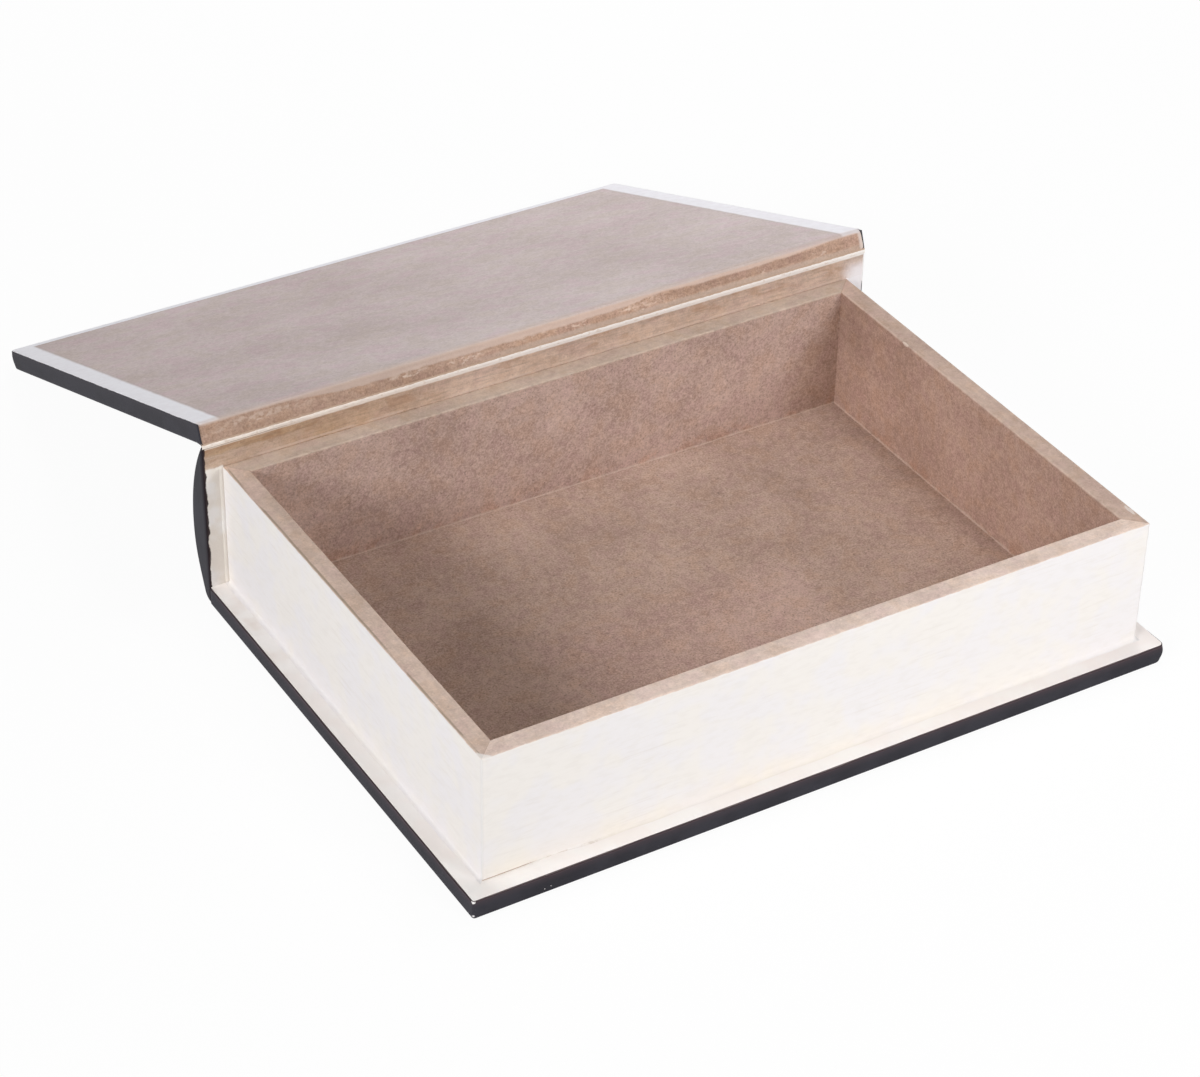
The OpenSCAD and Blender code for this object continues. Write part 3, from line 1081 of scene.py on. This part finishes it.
def lid_hinge_ease(x):
    """Radius of the lid's inner arris at the hinge, sanded away broadly towards the head."""
    sanded_away = 1.6 * smooth_step(x, 96, 146)
    return HINGE_ARRIS * (1 + 0.25 * uneven(31, x / 14)) + sanded_away


def lid_fuzz(x, depth):
    """Sawn fibre on the lid's hinge side: a torn step, with short tufts on long saw streaks."""
    if depth < 0.5:
        return 0.0
    tufts = lumps(32, x / 1.6, depth / 0.9)
    streaks = lumps(33, x / 22, depth / 0.8)
    torn_at = 4.8 + 1.3 * uneven(34, x / 26) + 0.5 * uneven(35, x / 3)
    step = 0.22 * (1 - smooth_step(depth, torn_at - 0.5, torn_at)) * smooth_step(depth, 0.5, 2.0)
    return 0.12 * tufts + 0.1 * streaks + step


def lid_pieces():
    """The lid board and its covering, made inner face up, then turned over, and opened."""
    thickness = lid_hi.z - lid_lo.z
    turned_over = Matrix.Scale(-1, 4, (0, 0, 1))
    place = OPENING @ Matrix.Translation((0, 0, lid_lo.z)) @ turned_over
    board = cover_board(lid_hi.y, thickness, LID_ARRISES, LID_CORNERS,
                        hinge_ease=lid_hinge_ease, fuzz=lid_fuzz, stations=500)
    add_piece("lid_board_cut", board, "lid", "lid_board", [lid_board_finish()],
              sharp=40, turn=place)
    near_y = lid_hi.y - TURNED_OVER
    skin = cover_skin(lid_hi.y, near_y, thickness, LID_ARRISES, LID_CORNERS,
                      ragged=LID_TRIM, seed=41)
    finish = covering_finish("lid_covering", trim_axis="z", trim_at=lid_lo.z,
                             edge=tint(62, 59, 65), edge_width=1.0, shut=True)
    add_piece("lid_covering_wrapped", skin, "lid", "lid_covering", [finish],
              turn=place, skin=True)


def hinge_piece():
    """The free strip of covering between spine and lid, black outside and cream inside.

    It turns up from the spine's top edge, stands on the lid's hinge arris and lies over the lid's
    outer face, where the lid's own covering carries on. The lid's share is drawn shut, then opened.
    """
    top = case_hi.z
    over = lid_skin_hi.z
    under = over - SKIN + 0.01
    near = HINGE_AT.y - SKIN / 2
    away = HINGE_AT.y + SKIN / 2
    bends_at = top - 0.75
    seat_y = SPINE_Y + SEAT
    turns_y = HINGE_AT.y + 0.25
    side_y = lid_hi.y - 0.1
    tucked_y = lid_hi.y - TURNED_OVER - TUCKED_UNDER
    over_spine = [(seat_y, top), (turns_y, top)]
    under_spine = [(turns_y, top - SKIN), (seat_y, top - SKIN)]
    outside = [(near, bends_at), (near, over + 0.3), (near - 0.1, over + 0.02), (near - 0.7, over)]
    outside.append((tucked_y, over - 0.02))
    cream, black = 0, 1
    kinds = [black] * 7 + [cream] * 7 + [black]
    rings = []
    for x in spread(-HALF_LENGTH, HALF_LENGTH, 600):
        teeth = 0.28 * uneven(51, x / 0.9) + 0.15 * uneven(52, x / 6)
        edge = under + 0.05 + teeth
        inside = [(tucked_y, under), (side_y, under), (side_y, edge), (lid_hi.y + 0.07, edge)]
        inside += [(away, over + 0.3), (away, bends_at)]
        ring = [Vector((x, y, z)) for y, z in over_spine]
        for y, z in outside + inside:
            drawn_in = smooth_step(HINGE_AT.y - y, 0.3, 1.0) * LID_ARRISES[0] * FLATTENED
            narrowed = x * (1 - drawn_in / HALF_LENGTH)
            ring.append(OPENING @ Vector((narrowed, y, z)))
        ring += [Vector((x, y, z)) for y, z in under_spine]
        rings.append(ring)
    mesh = loft(rings, kinds=kinds)
    for face in mesh.faces:
        if len(face.verts) > 4:
            face.material_index = black
    outside_finish = covering_finish("hinge_outside", trim_axis="y", trim_at=SPINE_Y,
                                     edge=BLACK, edge_width=1.0)
    materials = [lining_finish(), outside_finish]
    piece = add_piece("hinge_strip_free", mesh, None, "hinge_strip", materials, sharp=50)
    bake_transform(piece)


def surroundings():
    """A white floor that keeps the shadow, white surroundings and soft studio lamps."""
    reach = 30
    data = bpy.data.meshes.new("floor")
    corners = [(-reach, -reach, 0), (reach, -reach, 0), (reach, reach, 0), (-reach, reach, 0)]
    data.from_pydata(corners, [], [(0, 1, 2, 3)])
    floor = bpy.data.objects.new("floor", data)
    bpy.context.scene.collection.objects.link(floor)
    finish = Finish("floor")
    paper = finish.node("BsdfDiffuse", None, {"Color": (0.8, 0.8, 0.8, 1)})
    glow = finish.node("Emission", None, {"Color": (1, 1, 1, 1), "Strength": 1.0})
    pale = finish.node("BsdfDiffuse", None, {"Color": (1, 1, 1, 1)})
    shown = finish.node("MixShader", None, {0: 0.05, 1: glow, 2: pale})
    surface = finish.node("MixShader", None, {0: seen_directly(finish), 1: paper, 2: shown})
    finish.node("OutputMaterial", None, {"Surface": surface})
    data.materials.append(finish.material)

    world = bpy.data.worlds.new("studio")
    world.use_nodes = True
    bpy.context.scene.world = world
    finish = Finish("studio", world.node_tree)
    room = finish.node("Background", None, {"Color": (1.0, 1.0, 1.0, 1), "Strength": 0.09})
    white = finish.node("Background", None, {"Color": (1, 1, 1, 1), "Strength": 1.0})
    surface = finish.node("MixShader", None, {0: seen_directly(finish), 1: room, 2: white})
    finish.node("OutputWorld", None, {"Surface": surface})

    lamp("window", azimuth=-65, height=25, distance=3.0, size=0.8, power=37)
    lamp("side_window", azimuth=-90, height=33, distance=3.0, size=0.8, power=21)
    lamp("front", azimuth=15, height=18, distance=1.0, size=0.3, power=3.9)
    lamp("right", azimuth=60, height=35, distance=0.9, size=0.3, power=0.46)
    lamp("overhead", azimuth=100, height=73, distance=0.75, size=0.2, power=1.4)
    lamp("behind", azimuth=150, height=10, distance=1.2, size=0.4, power=5.8)


def seen_directly(finish):
    """1 for rays from the camera and for those mirrored or passed by gloss and glass."""
    rays = [finish.node("LightPath", output=name) for name in
            ("Is Camera Ray", "Is Glossy Ray", "Is Transmission Ray")]
    return rays[0].most(rays[1]).most(rays[2])


def lamp(name, azimuth, height, distance, size, power):
    """A square soft box that faces the tray, its distance and size in metres and its power in watts.

    azimuth and height are in degrees, azimuth from straight in front of the fore edge, to the right
    where it is positive.
    """
    turn = math.radians(azimuth)
    rise = math.radians(height)
    towards = Vector((math.sin(turn) * math.cos(rise), -math.cos(turn) * math.cos(rise), math.sin(rise)))
    target = Vector((0, 0, 0.03))
    data = bpy.data.lights.new(name, "AREA")
    data.shape = "SQUARE"
    data.size = size
    data.energy = power
    box = bpy.data.objects.new(name, data)
    bpy.context.scene.collection.objects.link(box)
    aim = (-towards).to_track_quat("-Z", "Y").to_matrix().to_4x4()
    box.matrix_world = Matrix.Translation(target + towards * distance) @ aim


camera()
surroundings()
base_pieces()
tray_walls()
spine_board_piece()
spine_covering_piece()
lid_pieces()
hinge_piece()

bpy.context.scene.view_settings.view_transform = "Standard"
